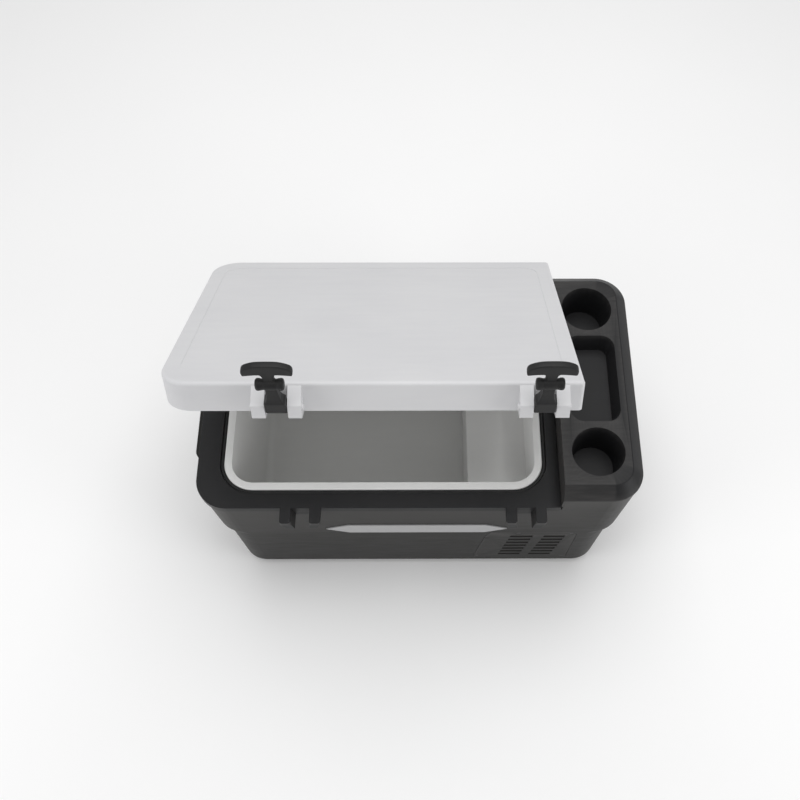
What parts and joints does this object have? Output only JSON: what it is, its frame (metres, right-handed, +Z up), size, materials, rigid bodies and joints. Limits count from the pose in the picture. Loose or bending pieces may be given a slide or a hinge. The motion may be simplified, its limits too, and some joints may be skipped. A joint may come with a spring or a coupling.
{
  "type": "compressor cooler fridge",
  "caption": "Portable compressor fridge: light hinged lid with rubber T latches, dark case, console with cup holders, louvred vents and end handles.",
  "frame": {"origin": "centre of the footprint, on the plane that the feet stand on", "axes": "+X towards the machine end with the console, +Y towards the lid hinges, +Z up"},
  "size_m": [0.714, 0.4369, 0.5936],
  "materials": {
    "case_plastic": "matte",
    "lid_plastic": "satin",
    "liner_plastic": "gloss",
    "foam": "matte",
    "rubber": "matte",
    "trim_plastic": "satin",
    "steel": "satin",
    "zinc_plate": "satin",
    "black_enamel": "gloss",
    "copper": "satin",
    "aluminium": "satin",
    "circuit_board": "satin",
    "lens": "gloss",
    "badge_silver": "satin"
  },
  "bodies": {
    "base": {"ac_inlet": "trim_plastic", "badge_plate": "badge_silver", "bay_partition": "zinc_plate", "capillary_line": "copper", "case_foam": "foam", "case_shell": "case_plastic", "compressor_can": "black_enamel", "compressor_tray": "steel", "condenser_fins": "aluminium", "condenser_tube": "copper", "console_cover": "case_plastic", "control_board": "circuit_board", "control_panel": "trim_plastic", "dc_inlet": "trim_plastic", "discharge_line": "copper", "display_lens": "lens", "evaporator_band": "aluminium", "evaporator_tube": "aluminium", "fan_frame": "trim_plastic", "fan_screws": "steel", "filter_drier": "copper", "food_liner": "liner_plastic", "foot_screws": "steel", "grommet_bolts": "steel", "grommets": "rubber", "handle_screws": "steel", "hinge_base_left": "steel", "hinge_base_right": "steel", "hinge_pins": "steel", "hinge_screws_base": "steel", "latch_keeper_left": "case_plastic", "latch_keeper_right": "case_plastic", "liquid_line": "copper", "rubber_feet": "rubber", "side_handle_left": "case_plastic", "side_handle_right": "case_plastic", "suction_line": "copper", "temperature_sensor": "trim_plastic", "terminal_cover": "trim_plastic", "top_frame": "case_plastic", "vent_panel": "case_plastic", "vent_screws": "steel"},
    "lid": {"lid_shell": "lid_plastic", "lid_liner": "liner_plastic", "lid_foam": "foam", "lid_gasket": "rubber", "hinge_leaf_left": "steel", "hinge_leaf_right": "steel", "hinge_screws_lid": "steel", "latch_pins": "steel"},
    "latch_left": {"latch_left": "rubber"},
    "latch_right": {"latch_right": "rubber"},
    "fan_rotor": {"fan_rotor": "trim_plastic"},
    "button_power": {"button_power": "trim_plastic"},
    "button_down": {"button_down": "trim_plastic"},
    "button_up": {"button_up": "trim_plastic"}
  },
  "joints": [
    {"name": "lid_hinge", "type": "hinge", "parent": "base", "child": "lid", "pos_m": [0, 0.201, 0.288], "axis": [-1, 0, 0], "range_deg": [-30, 60]},
    {"name": "latch_left_pivot", "type": "hinge", "parent": "lid", "child": "latch_left", "pos_m": [-0.174, -0.14384, 0.50672], "axis": [1, 0, 0], "range_deg": [-34, 156]},
    {"name": "latch_right_pivot", "type": "hinge", "parent": "lid", "child": "latch_right", "pos_m": [0.16, -0.14384, 0.50672], "axis": [1, 0, 0], "range_deg": [-34, 156]},
    {"name": "fan_spin", "type": "hinge", "parent": "base", "child": "fan_rotor", "pos_m": [0.19, -0.1205, 0.092], "axis": [0, 1, 0], "continuous": true},
    {"name": "button_power_press", "type": "slide", "parent": "base", "child": "button_power", "axis": [-1, 0, 0], "range_m": [0, 0.001], "stiffness_N_per_m": 600, "springref_m": -0.001},
    {"name": "button_down_press", "type": "slide", "parent": "base", "child": "button_down", "axis": [-1, 0, 0], "range_m": [0, 0.001], "stiffness_N_per_m": 600, "springref_m": -0.001},
    {"name": "button_up_press", "type": "slide", "parent": "base", "child": "button_up", "axis": [-1, 0, 0], "range_m": [0, 0.001], "stiffness_N_per_m": 600, "springref_m": -0.001}
  ]
}
